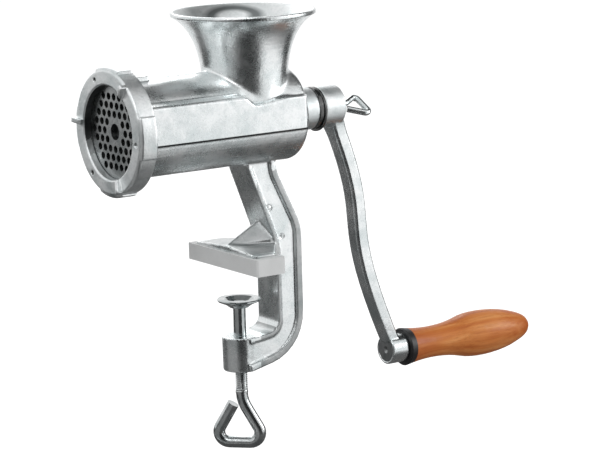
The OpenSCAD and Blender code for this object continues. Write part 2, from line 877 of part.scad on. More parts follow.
module screw_stud() {
    color("darkgray") {
        along_barrel(knife_back + face_gap - joint) cylinder(r = stud_r, h = stud_deep);
        along_barrel(knife_front) square_bar(knife_square_w, knife_t + face_gap);
        along_barrel(plate_front + stud_pin_short) {
            cylinder(r1 = stud_pin_r - stud_pin_edge, r2 = stud_pin_r, h = stud_pin_edge);
            translate([0, 0, stud_pin_edge])
                cylinder(r = stud_pin_r, h = stud_pin_len - stud_pin_edge + joint);
        }
    }
}

module knife_arm() {
    translate([0, knife_square_w / 2, 0]) rotate([-90, 0, 0])
        linear_extrude(knife_r)
            polygon([
                [-knife_arm_w / 2, 0], [knife_arm_w / 2, 0],
                [knife_arm_w / 2 - knife_t * knife_bevel, -knife_t],
                [-knife_arm_w / 2, -knife_t]
            ]);
}

module knife() {
    color("lightsteelblue") along_barrel(knife_front) difference() {
        intersection() {
            union() {
                for (i = [0:3]) rotate(45 + 90 * i) knife_arm();
                cylinder(r = knife_hub_r, h = knife_t);
            }
            cylinder(r = knife_r, h = knife_t);
        }
        translate([0, 0, -cut]) square_bar(knife_square_w + 2 * square_fit, knife_t + 2 * cut);
    }
}

module thrust_washer() {
    color("saddlebrown") along_barrel(collar_x)
        ring(journal_r + washer_gap, screw_collar_r, thrust_washer_t);
}

// ---- rear bearing ----

module rear_bush() {
    color("black") difference() {
        turned([
            [0, end_wall_x], [bush_r, end_wall_x], [bush_r, hub_back],
            [hub_r - bush_edge, hub_back], [hub_r, hub_back + bush_edge],
            [hub_r, flange_back - bush_edge],
            [hub_r - bush_edge, flange_back], [0, flange_back]
        ]);
        along_barrel(end_wall_x - cut)
            cylinder(r = journal_r + run_fit, h = flange_back - end_wall_x + 2 * cut);
    }
}

module crank_washer() {
    color("black") along_barrel(crank_front - crank_washer_t)
        ring(journal_r + washer_gap, crank_boss_r + washer_gap, crank_washer_t);
}

// ---- crank ----

// Middle line of the arm in X and Z, from the hub boss down to the pin boss
arm_curve = [
    [crank_front + arm_start[0], axis_height + arm_start[1]],
    [crank_front + arm_start[0] + crank_offset * arm_upper[0],
        axis_height - crank_radius * arm_upper[1]],
    [pin_boss_x + pin_boss_len / 2 - crank_offset * arm_lower[0],
        grip_z + crank_radius * arm_lower[1]],
    [pin_boss_x + pin_boss_len / 2, grip_z]
];

// Width of the arm at t: it flares into the hub boss and narrows a little towards the grip
function arm_width(t) =
    arm_w * (1 - t * (1 - arm_taper)) + arm_flare * pow(max(0, 1 - t / arm_flare_end), 2);

// Rectangular section with bevelled edges, w wide in Y and t thick along n in the XZ plane
function arm_section(p, n, w, t) = [
    for (c = [
        [w / 2, t / 2 - arm_edge], [w / 2 - arm_edge, t / 2], [arm_edge - w / 2, t / 2],
        [-w / 2, t / 2 - arm_edge], [-w / 2, arm_edge - t / 2], [arm_edge - w / 2, -t / 2],
        [w / 2 - arm_edge, -t / 2], [w / 2, arm_edge - t / 2]
    ]) placed(p, n, c)
];

module arm() {
    skin([
        for (i = [0:arm_rings])
            let (t = pow(i / arm_rings, 1.4), p = bezier(arm_curve, t))
            let (along = bezier(arm_curve, t + 0.01) - bezier(arm_curve, t - 0.01))
            arm_section(p, left(unit(along)), arm_width(t), arm_t)
    ]);
}

module crank_arm() {
    color("silver") difference() {
        union() {
            arm();
            along_barrel(crank_front) {
                cylinder(r = crank_boss_r, h = crank_boss_len - boss_edge);
                translate([0, 0, crank_boss_len - boss_edge])
                    cylinder(r1 = crank_boss_r, r2 = crank_boss_r - boss_edge, h = boss_edge);
            }
            along_grip(pin_boss_x) {
                cylinder(r1 = pin_boss_r - pin_boss_edge, r2 = pin_boss_r, h = pin_boss_edge);
                translate([0, 0, pin_boss_edge])
                    cylinder(r = pin_boss_r, h = pin_boss_len - pin_boss_edge);
            }
        }
        along_barrel(crank_front - cut)
            square_bar(square_w + 2 * square_fit, socket_deep + cut);
        along_barrel(crank_front)
            cylinder(d = thumb_thread_d + 2 * run_fit, h = crank_boss_len + cut);
        along_grip(pin_boss_x - cut) cylinder(r = pin_head_r + run_fit, h = pin_head_t + cut);
        along_grip(pin_boss_x) cylinder(r = pin_r + run_fit, h = pin_boss_len + cut);
    }
}

module thumb_screw() {
    color("whitesmoke") {
        along_barrel(crank_back - crank_wall - thumb_reach)
            cylinder(d = thumb_thread_d, h = crank_wall + thumb_reach + face_gap);
        along_barrel(crank_back + face_gap)
            cylinder(r = thumb_shoulder_r, h = thumb_shoulder_t);
        along_barrel(crank_back + face_gap) rotate(90 + thumb_turn)
            triangle_loop(thumb_wire_d, thumb_straight, thumb_neck_bend, thumb_side,
                thumb_shift, thumb_bend, thumb_gap);
    }
}

// ---- grip ----

module grip_pin() {
    head_x = pin_boss_x + pin_head_sunk;
    color("dimgray") difference() {
        union() {
            along_grip(head_x) {
                cylinder(r = pin_head_r, h = pin_head_t - pin_head_sunk);
                cylinder(r = pin_r, h = grip_front + pin_reach - head_x);
            }
        }
        along_grip(head_x - joint)
            cylinder(r1 = pin_dimple_r + joint, r2 = pin_dimple_tip, h = pin_dimple_deep + joint);
        along_grip(clip_x) ring(pin_r - clip_groove, pin_r + cut, clip_t);
    }
}

// Open spring ring in the pin's groove; it keeps the grip on
module pin_ring() {
    color("gray") along_grip(clip_x) difference() {
        ring(pin_r - clip_groove, clip_r, clip_t);
        translate([0, -pin_r / 2, -cut]) cube([clip_r + cut, pin_r, clip_t + 2 * cut]);
    }
}

module grip_collar() {
    collar_r = collar_d / 2;
    color("black") difference() {
        along_grip(collar_front) {
            cylinder(r1 = collar_r - collar_edge, r2 = collar_r, h = collar_edge);
            translate([0, 0, collar_edge])
                cylinder(r1 = collar_r, r2 = collar_r - collar_edge, h = collar_t - collar_edge);
        }
        along_grip(collar_front - cut) cylinder(r = pin_r + run_fit, h = collar_t + 2 * cut);
    }
}

// Swelling of the turned grip: neck, belly and rounded tip. The waist and the shoulder
// are given as a radius and as a share of the grip's length
grip_curve = [
    for (part = [
        [[collar_d / 2 - collar_edge, 0], [grip_neck_r - 1.2, 0.14],
            [grip_neck_r - 0.8, 0.3], grip_waist],
        [grip_waist, [belly_r + 0.6, 0.5], [belly_r + 0.5, 0.68], grip_shoulder],
        [grip_shoulder, [0.6 * belly_r, 0.92], [0.48 * belly_r, 1], [0, 1]]
    ])
        each bezier_path([for (q = part) [q[0], q[1] * grip_len]], 8)
];

module wooden_grip() {
    color("chocolate") difference() {
        along_grip(grip_front) rotate_extrude() polygon(concat([[0, 0]], grip_curve));
        along_grip(grip_front - cut) cylinder(r = pin_r + run_fit, h = pin_reach + 2 * cut);
        along_grip(clip_x - face_gap)
            cylinder(r = clip_r + run_fit, h = clip_t + 2 * face_gap);
    }
}

// ---- clamp screw and pad ----

module clamp_screw() {
    rivet_z = pad_bottom + pad_floor + face_gap;
    color("darkgray") {
        translate([0, 0, rod_bottom]) cylinder(r = rod_r, h = rod_top - rod_bottom);
        translate([0, 0, rod_top - joint])
            cylinder(r = neck_r, h = rivet_z - rod_top + 2 * joint);
        translate([0, 0, rivet_z])
            cylinder(r1 = rivet_r, r2 = rivet_r - rivet_draw, h = rivet_t);
        translate([0, 0, rod_bottom + joint]) rotate([180, 0, loop_turn])
            triangle_loop(loop_wire_d, joint, loop_neck_bend, loop_side, loop_shift,
                loop_bend, loop_gap);
    }
}

module clamp_pad() {
    dish_r = dish_d / 2;
    pad_r = pad_d / 2;
    color("lightgray") difference() {
        rotate_extrude() polygon([
            [0, pad_bottom], [rod_r + floor_spare[0], pad_bottom],
            [dish_r - pad_flare, pad_bottom + pad_floor], [pad_r - pad_flare, pad_top - pad_rim_t],
            [pad_r, pad_top - pad_rim_t + pad_edge], [pad_r, pad_top - pad_edge],
            [pad_r - pad_edge, pad_top], [dish_r, pad_top],
            [rivet_r + floor_spare[1], pad_bottom + pad_floor], [0, pad_bottom + pad_floor]
        ]);
        translate([0, 0, pad_bottom - cut]) cylinder(r = neck_r + run_fit, h = pad_h);
    }
}

housing();
jaw_cover();
plate_key();
rear_bush();
feed_screw();
screw_stud();
knife();
thrust_washer();
hole_plate();
ring_nut();
crank_washer();
crank_arm();
thumb_screw();
grip_pin();
grip_collar();
wooden_grip();
pin_ring();
clamp_screw();
clamp_pad();
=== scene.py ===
import json
import math

import bmesh
import bpy
import numpy as np
from mathutils import Matrix, Vector


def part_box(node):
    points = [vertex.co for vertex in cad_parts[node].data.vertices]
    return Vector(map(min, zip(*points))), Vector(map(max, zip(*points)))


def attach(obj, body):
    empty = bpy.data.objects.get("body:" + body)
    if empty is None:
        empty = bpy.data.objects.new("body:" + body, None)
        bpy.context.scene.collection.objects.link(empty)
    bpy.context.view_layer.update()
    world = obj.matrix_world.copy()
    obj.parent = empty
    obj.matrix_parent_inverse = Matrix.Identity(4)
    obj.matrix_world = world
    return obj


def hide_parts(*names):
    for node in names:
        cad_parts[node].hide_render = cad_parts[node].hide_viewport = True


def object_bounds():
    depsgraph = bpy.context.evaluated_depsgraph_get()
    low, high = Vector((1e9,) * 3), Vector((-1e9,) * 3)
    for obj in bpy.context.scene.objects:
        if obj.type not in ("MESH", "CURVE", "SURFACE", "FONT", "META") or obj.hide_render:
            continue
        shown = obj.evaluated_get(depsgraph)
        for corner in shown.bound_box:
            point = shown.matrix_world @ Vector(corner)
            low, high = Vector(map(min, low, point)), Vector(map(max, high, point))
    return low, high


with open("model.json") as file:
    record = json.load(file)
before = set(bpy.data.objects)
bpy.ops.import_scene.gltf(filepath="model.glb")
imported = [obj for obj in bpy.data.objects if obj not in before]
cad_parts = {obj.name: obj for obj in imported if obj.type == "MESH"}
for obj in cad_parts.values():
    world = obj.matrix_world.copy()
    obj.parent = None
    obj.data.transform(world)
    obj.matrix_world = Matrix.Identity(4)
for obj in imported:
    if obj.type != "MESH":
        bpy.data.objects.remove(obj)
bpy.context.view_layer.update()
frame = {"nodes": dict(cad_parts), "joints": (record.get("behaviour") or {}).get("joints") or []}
nodes = frame["nodes"]
joints = {joint["name"]: joint for joint in frame["joints"]}
scene = bpy.context.scene

# A hand crank meat grinder in a pale studio: better finishes for the CAD nodes, softened copies
# of the castings, and a few details too fine for the solids. Every size is in metres. The barrel
# and the crank's shaft lie along X at the height AXIS_Z, and the camera looks from the -Y side.
AXIS_Z = joints["crank_spin"]["pos_m"][2]
GRIP_START, GRIP_END = (corner[0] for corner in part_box("wooden_grip"))
TURN = 2 * math.pi
TOUCH = 1e-6
SHARP_ANGLE = math.radians(35)


# ---- node trees ----


class Tree:
    """A node tree, with short ways to add nodes to it."""

    def __init__(self, tree):
        self.tree = tree

    def add(self, kind, **settings):
        node = self.tree.nodes.new(kind)
        for name, setting in settings.items():
            setattr(node, name, setting)
        return node

    def put(self, socket, value):
        """Links a socket, or sets it to a plain number, vector or colour."""
        if isinstance(value, bpy.types.NodeSocket):
            self.tree.links.new(value, socket)
        elif socket.type == "RGBA":
            socket.default_value = (*value, 1)
        else:
            socket.default_value = value

    def fill(self, node, **inputs):
        """Puts values into a node's inputs, whose names have _ for a space."""
        for name, value in inputs.items():
            self.put(node.inputs[name.replace("_", " ")], value)
        return node

    def maths(self, operation, one, two):
        node = self.add("ShaderNodeMath", operation=operation)
        self.put(node.inputs[0], one)
        self.put(node.inputs[1], two)
        return node.outputs[0]

    def towards_camera(self, straight=1.0):
        """1 for what metal and glass pass on, and the number straight for a camera ray."""
        path = self.add("ShaderNodeLightPath").outputs
        seen = self.maths("MULTIPLY", path["Is Camera Ray"], straight)
        mirrored = self.maths("MAXIMUM", seen, path["Is Glossy Ray"])
        return self.maths("MAXIMUM", mirrored, path["Is Transmission Ray"])


class Shader(Tree):
    """The node tree of a new material, which knows the place on the object."""

    def __init__(self, name):
        self.material = bpy.data.materials.new(name)
        self.material.use_nodes = True
        super().__init__(self.material.node_tree)
        self.where = self.add("ShaderNodeTexCoord").outputs["Object"]

    def finish(self, **inputs):
        """Sets the Principled shader's inputs and gives the material."""
        self.fill(self.tree.nodes["Principled BSDF"], **inputs)
        return self.material

    def stretched(self, counts):
        """The place, with so many noise cells to the metre along X, Y and Z."""
        node = self.add("ShaderNodeMapping")
        return self.fill(node, Vector=self.where, Scale=counts).outputs["Vector"]

    def noise(self, size=1.0, detail=3.0, rough=0.5, distort=0.0, where=None):
        node = self.add("ShaderNodeTexNoise")
        self.fill(node, Vector=where or self.where, Scale=1 / size)
        self.fill(node, Detail=detail, Roughness=rough, Distortion=distort)
        return node.outputs["Fac"]

    def cells(self, size):
        node = self.add("ShaderNodeTexVoronoi")
        return self.fill(node, Vector=self.where, Scale=1 / size).outputs["Distance"]

    def span(self, value, reads, gives=(0.0, 1.0)):
        """Turns the range that a value is read from into the range that it gives."""
        node = self.add("ShaderNodeMapRange")
        self.fill(node, Value=value, From_Min=reads[0], From_Max=reads[1])
        return self.fill(node, To_Min=gives[0], To_Max=gives[1]).outputs["Result"]

    def colours(self, value, *stops):
        """A colour ramp, from stops of (position, colour)."""
        node = self.add("ShaderNodeValToRGB")
        self.fill(node, Fac=value)
        elements = node.color_ramp.elements
        while len(elements) < len(stops):
            elements.new(0.5)
        for element, (position, colour) in zip(elements, stops):
            element.position = position
            element.color = (*colour, 1)
        return node.outputs["Color"]

    def mix(self, share, one, two):
        """Blends two colours. The node's sockets for them are told apart by number only."""
        node = self.add("ShaderNodeMix", data_type="RGBA")
        for number, value in ((0, share), (6, one), (7, two)):
            self.put(node.inputs[number], value)
        return node.outputs[2]

    def far_from(self, centre, turn, size):
        """The distance from a centre, counted in half-widths of a turned ellipsoid."""
        node = self.add("ShaderNodeMapping", vector_type="TEXTURE")
        self.fill(node, Vector=self.where, Location=centre, Rotation=turn, Scale=size)
        length = self.add("ShaderNodeVectorMath", operation="LENGTH")
        self.put(length.inputs[0], node.outputs["Vector"])
        return length.outputs["Value"]

    def bump(self, height, depth, after=None):
        """Bumps of a depth, on top of those of the bump given as after."""
        node = self.add("ShaderNodeBump")
        self.fill(node, Strength=1, Distance=depth, Height=height)
        if after:
            self.fill(node, Normal=after)
        return node.outputs["Normal"]


# ---- finishes ----

# Metals are a little bluish where they are dark, and less so where they are bright.
COOL = (0.91, 0.99, 1)
PALE = (0.97, 0.995, 1)
# How deep the bumps of a finish are.
FINE_GRAIN = 0.00002
PLASTIC_GRAIN = 0.00003
COARSE_GRAIN = 0.00005
WAVE_DEPTH = 0.0002


def grey(value, tint):
    return tuple(value * part for part in tint)


# The far wall of the hopper gets a painted reflection of its throat: a dark arc with a lighter
# middle, painted into its colour. The arc is the shell of an ellipsoid with this centre, turn and
# half-widths.
PAINTED_REFLECTION_TONE = grey(0.19, COOL)
MIRRORED_THROAT = ((0.023, 0.0335, 0.1532), (0, 0, math.radians(158)), (0.0165, 0.02, 0.0052))


def painted_reflection_arc(s, arc):
    """1 in the shell of an ellipsoid, and 0 in its middle and outside: the mask of a painted
    reflection.
    """
    away = s.far_from(*arc)
    inside_edge = s.span(away, (1.0, 1.35), (1, 0))
    outside_middle = s.span(away, (0.5, 0.8))
    return s.maths("MULTIPLY", inside_edge, outside_middle)


def cast_metal(name, tone, rough, grain=FINE_GRAIN, arc=None):
    """Cast and tumbled aluminium: soft waves, fine stipple and small darker pits."""
    s = Shader(name)
    low, high = tone
    broad = s.noise(size=0.019, detail=4, distort=0.6)
    mottle = s.noise(size=0.0045, rough=0.6, distort=0.4)
    fine = s.noise(size=0.0011, rough=0.65)
    colour = s.colours(broad, (0.3, grey(low, COOL)), (0.6, grey(high, PALE)))
    colour = s.mix(s.span(mottle, (0.5, 0.72), (0, 0.4)), colour, grey(low * 0.86, COOL))
    colour = s.mix(s.span(fine, (0.54, 0.76), (0, 0.4)), colour, grey(low * 0.7, COOL))
    # With an arc, the colour takes a painted reflection of the hopper's throat.
    if arc:
        colour = s.mix(painted_reflection_arc(s, arc), colour, PAINTED_REFLECTION_TONE)
    roughness = s.span(broad, (0.3, 0.7), rough)
    swell = s.bump(mottle, WAVE_DEPTH * 0.2, after=s.bump(broad, WAVE_DEPTH))
    pits = s.bump(s.span(s.cells(size=0.0019), (0, 0.5)), grain, after=swell)
    return s.finish(
        Base_Color=colour,
        Metallic=1.0,
        Roughness=s.maths("ADD", roughness, s.span(fine, (0.3, 0.7), (-0.03, 0.07))),
        Normal=s.bump(fine, grain, after=pits),
    )


def steel(name, tone, rough):
    """Drawn or plated steel, with a cloudy tone and a fine grain."""
    s = Shader(name)
    low, high = tone
    broad = s.noise(size=0.009, detail=4, rough=0.6)
    fine = s.noise(size=0.0006, rough=0.6)
    return s.finish(
        Base_Color=s.colours(broad, (0.35, grey(low, COOL)), (0.65, grey(high, PALE))),
        Metallic=1.0,
        Roughness=s.span(fine, (0.3, 0.7), (rough - 0.05, rough + 0.1)),
        Normal=s.bump(fine, FINE_GRAIN, after=s.bump(broad, WAVE_DEPTH / 2)),
    )


def plastic(name, colour, rough, shine=0.0):
    """Moulded plastic or rubber in one colour with a soft cloud in it, and a fine grain."""
    s = Shader(name)
    fine = s.noise(size=0.0007, detail=2)
    broad = s.noise(size=0.012)
    cloud = s.span(broad, (0.3, 0.7), (0, 0.5))
    return s.finish(
        Base_Color=s.mix(cloud, colour, grey(0.86, colour)),
        Roughness=s.span(broad, (0.3, 0.7), (rough - 0.06, rough + 0.06)),
        Coat_Weight=shine,
        Coat_Roughness=rough,
        Specular_IOR_Level=0.5 + shine / 2,
        Normal=s.bump(fine, PLASTIC_GRAIN),
    )


WOOD_DARK = (0.44, 0.112, 0.022)
WOOD_MIDDLE = (0.58, 0.185, 0.042)
WOOD_PALE = (0.73, 0.31, 0.1)
WOOD_PORE = (0.3, 0.07, 0.014)
WOOD_AT_COLLAR = (0.36, 0.075, 0.022)
WOOD_AT_TIP = (0.47, 0.105, 0.012)
# How far the redder wood reaches from each end of the grip.
COLLAR_REACH = 0.022
TIP_REACH = 0.032


def wood_finish(name):
    """Lacquered beech with long soft streaks, fine pores and redder ends."""
    s = Shader(name)
    streak = s.noise(distort=0.5, where=s.stretched((11, 210, 210)))
    cloud = s.noise(distort=0.3, where=s.stretched((26, 60, 60)))
    fibre = s.noise(rough=0.6, where=s.stretched((35, 1500, 1500)))
    split = s.add("ShaderNodeSeparateXYZ")
    s.fill(split, Vector=s.where)
    along = split.outputs["X"]
    near_collar = s.span(along, (GRIP_START + COLLAR_REACH, GRIP_START), (0, 0.5))
    near_tip = s.span(along, (GRIP_END - TIP_REACH, GRIP_END), (0, 0.7))
    colour = s.colours(streak, (0.3, WOOD_DARK), (0.5, WOOD_MIDDLE), (0.72, WOOD_PALE))
    colour = s.mix(s.span(cloud, (0.45, 0.75), (0, 0.5)), colour, WOOD_PALE)
    colour = s.mix(s.span(fibre, (0.5, 0.75), (0, 0.4)), colour, WOOD_PORE)
    colour = s.mix(near_collar, colour, WOOD_AT_COLLAR)
    return s.finish(
        Base_Color=s.mix(near_tip, colour, WOOD_AT_TIP),
        Roughness=s.span(fibre, (0.3, 0.7), (0.36, 0.5)),
        Coat_Weight=0.12,
        Coat_Roughness=0.14,
        Specular_IOR_Level=0.2,
        Normal=s.bump(fibre, FINE_GRAIN),
    )


looks = {
    "cast": cast_metal("cast_aluminium", tone=(0.66, 0.84), rough=(0.22, 0.32)),
    # The hopper's inside carries the painted reflection of its throat.
    "inside": cast_metal("hopper_inside", tone=(0.6, 0.76), rough=(0.38, 0.5), arc=MIRRORED_THROAT),
    "soft": cast_metal("ground_casting", tone=(0.62, 0.8), rough=(0.42, 0.52)),
    # A darker copy of the casting, as painted shade: on the jaw's web and top, the leg's flanges,
    # the lower arm's top and part of the ring nut's opening.
    "shaded": cast_metal("painted_shade_casting", tone=(0.34, 0.5), rough=(0.36, 0.5)),
    # Near black, as painted shade: in the ring nut's dimples and opening, and a painted shadow line
    # under the side panels.
    "groove": steel("painted_dark_shade_steel", tone=(0.06, 0.12), rough=0.5),
    "bright": cast_metal("bright_casting", tone=(0.64, 0.84), rough=(0.16, 0.26)),
    "ring": cast_metal("ring_casting", tone=(0.6, 0.8), rough=(0.3, 0.44), grain=COARSE_GRAIN),
    "feed": cast_metal("feed_casting", tone=(0.45, 0.62), rough=(0.34, 0.46)),
    "zinc": steel("zinc_steel", tone=(0.42, 0.62), rough=0.14),
    "chrome": steel("chrome_steel", tone=(0.46, 0.68), rough=0.13),
    "thumb": steel("thumb_steel", tone=(0.62, 0.84), rough=0.24),
    "pin": steel("pin_steel", tone=(0.24, 0.36), rough=0.32),
    "hard": steel("hardened_steel", tone=(0.24, 0.38), rough=0.26),
    "stud": steel("blackened_steel", tone=(0.02, 0.05), rough=0.4),
    "plate": steel("plate_steel", tone=(0.24, 0.38), rough=0.28),
    "black": plastic("black_plastic", (0.012, 0.012, 0.013), rough=0.42),
    "rubber": plastic("shiny_rubber", (0.008, 0.01, 0.01), rough=0.24, shine=0.8),
    "cover": plastic("grey_plastic", (0.72, 0.73, 0.73), rough=0.46),
    "fibre": plastic("fibre", (0.25, 0.05, 0.03), rough=0.7),
    "wood": wood_finish("lacquered_wood"),
}
finish_of = {
    "housing": "cast",
    "crank_arm": "bright",
    "feed_screw": "feed",
    "ring_nut": "ring",
    "screw_stud": "stud",
    "knife": "hard",
    "pin_ring": "hard",
    "hole_plate": "plate",
    "clamp_screw": "zinc",
    "thumb_screw": "thumb",
    "clamp_pad": "chrome",
    "plate_key": "pin",
    "grip_pin": "pin",
    "rear_bush": "rubber",
    "crank_washer": "rubber",
    "grip_collar": "black",
    "jaw_cover": "cover",
    "thrust_washer": "fibre",
    "wooden_grip": "wood",
}


def dress(node, finish):
    """Gives every material slot of a CAD node its finish."""
    slots = nodes[node].data.materials
    for i in range(len(slots)):
        slots[i] = looks[finish]


# ---- ways to make and change a piece ----


def linked(name, data):
    """A new object in the scene."""
    piece = bpy.data.objects.new(name, data)
    scene.collection.objects.link(piece)
    return piece


def adopt(piece, node, body):
    """The piece stands for a CAD node and moves with its body."""
    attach(piece, body)
    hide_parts(node)


def copy_of(node, name):
    piece = linked(name, nodes[node].data.copy())
    piece.matrix_world = nodes[node].matrix_world.copy()
    return piece


def apply_modifiers(piece):
    bpy.context.view_layer.update()
    depsgraph = bpy.context.evaluated_depsgraph_get()
    result = bpy.data.meshes.new_from_object(piece.evaluated_get(depsgraph))
    piece.modifiers.clear()
    piece.data = result


def softened(node, name, voxel, rounds):
    """A copy of a casting whose edges and corners are rounded as a mould leaves them."""
    piece = copy_of(node, name)
    remesh = piece.modifiers.new("remesh", "REMESH")
    remesh.mode = "VOXEL"
    remesh.voxel_size = voxel
    remesh.use_smooth_shade = True
    smooth = piece.modifiers.new("smooth", "SMOOTH")
    smooth.factor = 0.5
    smooth.iterations = rounds
    apply_modifiers(piece)
    return piece


def positions(piece):
    """A piece's points as an array, in the shared frame, since its object isn't moved."""
    flat = np.empty(len(piece.data.vertices) * 3)
    piece.data.vertices.foreach_get("co", flat)
    return flat.reshape(-1, 3)


LEAST_WEIGHT = 0.02


def filleted(piece, weights, rounds):
    """Rounds the corners that the weights pick out, as a cast fillet."""
    group = piece.vertex_groups.new(name="fillet")
    for i in np.nonzero(weights > LEAST_WEIGHT)[0]:
        group.add([int(i)], float(weights[i]), "REPLACE")
    smooth = piece.modifiers.new("fillet", "SMOOTH")
    smooth.vertex_group = "fillet"
    smooth.factor = 0.5
    smooth.iterations = rounds
    apply_modifiers(piece)


def uneven(piece, height, size):
    """Slow waves in a cast surface."""
    lumps = bpy.data.textures.new(piece.name + "_waves", "CLOUDS")
    lumps.noise_scale = size
    lumps.noise_depth = 1
    waves = piece.modifiers.new("waves", "DISPLACE")
    waves.texture = lumps
    waves.texture_coords = "LOCAL"
    waves.mid_level = 0.5
    waves.strength = height
    apply_modifiers(piece)


def finished(piece, finishes, finish_at):
    """Gives each face the finish that finish_at(place, normal) names, and shades it smooth."""
    piece.data.materials.clear()
    for finish in finishes:
        piece.data.materials.append(looks[finish])
    for face in piece.data.polygons:
        face.material_index = finishes.index(finish_at(face.center, face.normal))
        face.use_smooth = True


def smoothed(node, name, finish):
    """A copy of a bent wire or rod with smooth shading over its facets."""
    piece = copy_of(node, name)
    b = bmesh.new()
    b.from_mesh(piece.data)
    bmesh.ops.remove_doubles(b, verts=b.verts, dist=TOUCH)
    for face in b.faces:
        face.smooth = True
    for edge in b.edges:
        edge.smooth = len(edge.link_faces) == 2 and edge.calc_face_angle(0) < SHARP_ANGLE
    b.to_mesh(piece.data)
    b.free()
    piece.data.materials.clear()
    piece.data.materials.append(looks[finish])
    return piece


def pairs_round(ring):
    """Each item of a closed ring with the next one."""
    return list(zip(ring, ring[1:] + ring[:1]))


def skin(b, one, two):
    """A belt of faces between two closed rings of points."""
    for (a, after_a), (c, after_c) in zip(pairs_round(one), pairs_round(two)):
        b.faces.new((a, after_a, after_c, c))


def within(value, limits):
    """Whether a value, or each of an array, lies between two limits."""
    return (value > limits[0]) & (value < limits[1])


def off_axis(place):
    """The distance from the axis of the barrel and the crank."""
    return math.hypot(place.y, place.z - AXIS_Z)


# ---- housing ----

HOPPER_X = 0.0095
THROAT_R = 0.0272
BARREL_R = 0.03
# Where the hopper's foot, the leg's top and the side panels' top edge lie.
FOOT_START_Z = AXIS_Z + 0.006
LEG_TOP_X = (-0.012, 0.032)
LEG_TOP_Z = (0.055, 0.074)
LEG_HALF_Y = 0.016
PANEL_TOP_Z = AXIS_Z + 0.017
PANEL_TOP_HALF = 0.0014
PANEL_TOP_Y = 0.022
# A fillet is full up to the first distance from its corner, and ends at the second.
FOOT_FADE = (0.0024, 0.0054)
LEG_FADE = (0.0018, 0.0032)
LEG_WEIGHT = 0.7
PANEL_WEIGHT = 0.35


def corner_weights(at):
    """How much of the smoothing each point of the housing takes."""
    x, y, z = at.T
    off_barrel = np.abs(np.hypot(y, z - AXIS_Z) - BARREL_R)
    off_throat = np.abs(np.hypot(x - HOPPER_X, y) - THROAT_R)
    off_foot = np.maximum(off_barrel, off_throat)
    hopper_foot = (z > FOOT_START_Z) * np.interp(off_foot, FOOT_FADE, (1, 0))
    at_leg = within(x, LEG_TOP_X) & within(z, LEG_TOP_Z) & (np.abs(y) < LEG_HALF_Y)
    over_leg = at_leg * np.interp(off_barrel, LEG_FADE, (LEG_WEIGHT, 0))
    at_panel_top = (np.abs(z - PANEL_TOP_Z) < PANEL_TOP_HALF) & (np.abs(y) > PANEL_TOP_Y)
    return np.maximum.reduce((hopper_foot, over_leg, at_panel_top * PANEL_WEIGHT))


# Two small round casting marks on the leg's near side, as x, z and radius.
MARKS = ((0.0174, 0.036, 0.0017), (0.0266, 0.017, 0.0013))
MARK_DEPTH = 0.0004
MARK_LINE = 0.0005
NEAR_SIDE_Y = (-0.0125, -0.009)


def mark_leg(piece):
    """Sinks the outline of each casting mark into the leg."""
    at = positions(piece)
    x, y, z = at.T
    near_side = within(y, NEAR_SIDE_Y)
    for mark_x, mark_z, radius in MARKS:
        outline = np.abs(np.hypot(x - mark_x, z - mark_z) - radius) < MARK_LINE
        at[outline & near_side, 1] += MARK_DEPTH
    piece.data.vertices.foreach_set("co", at.ravel())


# Where the housing's finish changes, and where shade is painted on it.
INSIDE_Z = 0.126
HUB_START = 0.0385
HUB_R = 0.0152
JAW_Z = (0.0112, 0.04)
JAW_HALF_Y = 0.03
FLANGE_TOP_Z = 0.06
FLANGE_Y = 0.0112
BOSS_R = 0.0145
LOWER_ARM_X = 0.0125
LOWER_ARM_Z = -0.03
# The band along the side panels' lower edge that takes a line of painted shade, where they step onto
# the barrel.
PANEL_EDGE_Z = (AXIS_Z - 0.0079, AXIS_Z - 0.0067)
PANEL_Y = 0.0275
# How much of a face's normal points in the direction that is asked for.
SLIGHTLY, MOSTLY, SQUARELY = 0.3, 0.6, 0.9


def housing_finish(at, facing):
    """The finish of a spot on the housing, from its place and the way it faces, with painted shade
    on the jaw's web and top, the leg's flanges, the lower arm's top and along the side panels' lower
    edge.
    """
    to_hopper_axis = -(at.x - HOPPER_X) * facing.x - at.y * facing.y
    if at.z > INSIDE_Z and to_hopper_axis > 0.0002:
        return "inside"
    if at.x > HUB_START and off_axis(at) < HUB_R:
        return "soft"
    on_jaw = within(at.z, JAW_Z) and abs(at.y) < JAW_HALF_Y and facing.z > SLIGHTLY
    on_flange = at.z < FLANGE_TOP_Z and abs(at.y) > FLANGE_Y and abs(facing.y) > SQUARELY
    on_lower_arm = at.z < LOWER_ARM_Z and at.x > LOWER_ARM_X and facing.z > MOSTLY
    # Painted shade on the jaw's web and top, the leg's flanges and the lower arm's top.
    if on_jaw or (on_flange and at.xy.length > BOSS_R) or on_lower_arm:
        return "shaded"
    # A line of painted shade along the side panels' lower edge.
    if within(at.z, PANEL_EDGE_Z) and abs(at.y) > PANEL_Y and at.x < HUB_START:
        return "groove"
    return "cast"


def make_housing():
    piece = softened("housing", "housing_casting", voxel=0.0006, rounds=4)
    filleted(piece, corner_weights(positions(piece)), rounds=70)
    uneven(piece, height=0.00012, size=0.009)
    mark_leg(piece)
    finished(piece, ("cast", "inside", "soft", "shaded", "groove"), housing_finish)
    adopt(piece, "housing", "housing")


# ---- crank arm and ring nut ----

ARM_HUB_R = 0.0142


def arm_finish(at, _facing):
    """The crank arm is bright, but for its hub."""
    return "soft" if off_axis(at) < ARM_HUB_R else "bright"


def make_crank_arm():
    piece = softened("crank_arm", "crank_arm_casting", voxel=0.0004, rounds=10)
    uneven(piece, height=0.0001, size=0.008)
    finished(piece, ("bright", "soft"), arm_finish)
    adopt(piece, "crank_arm", "crank")


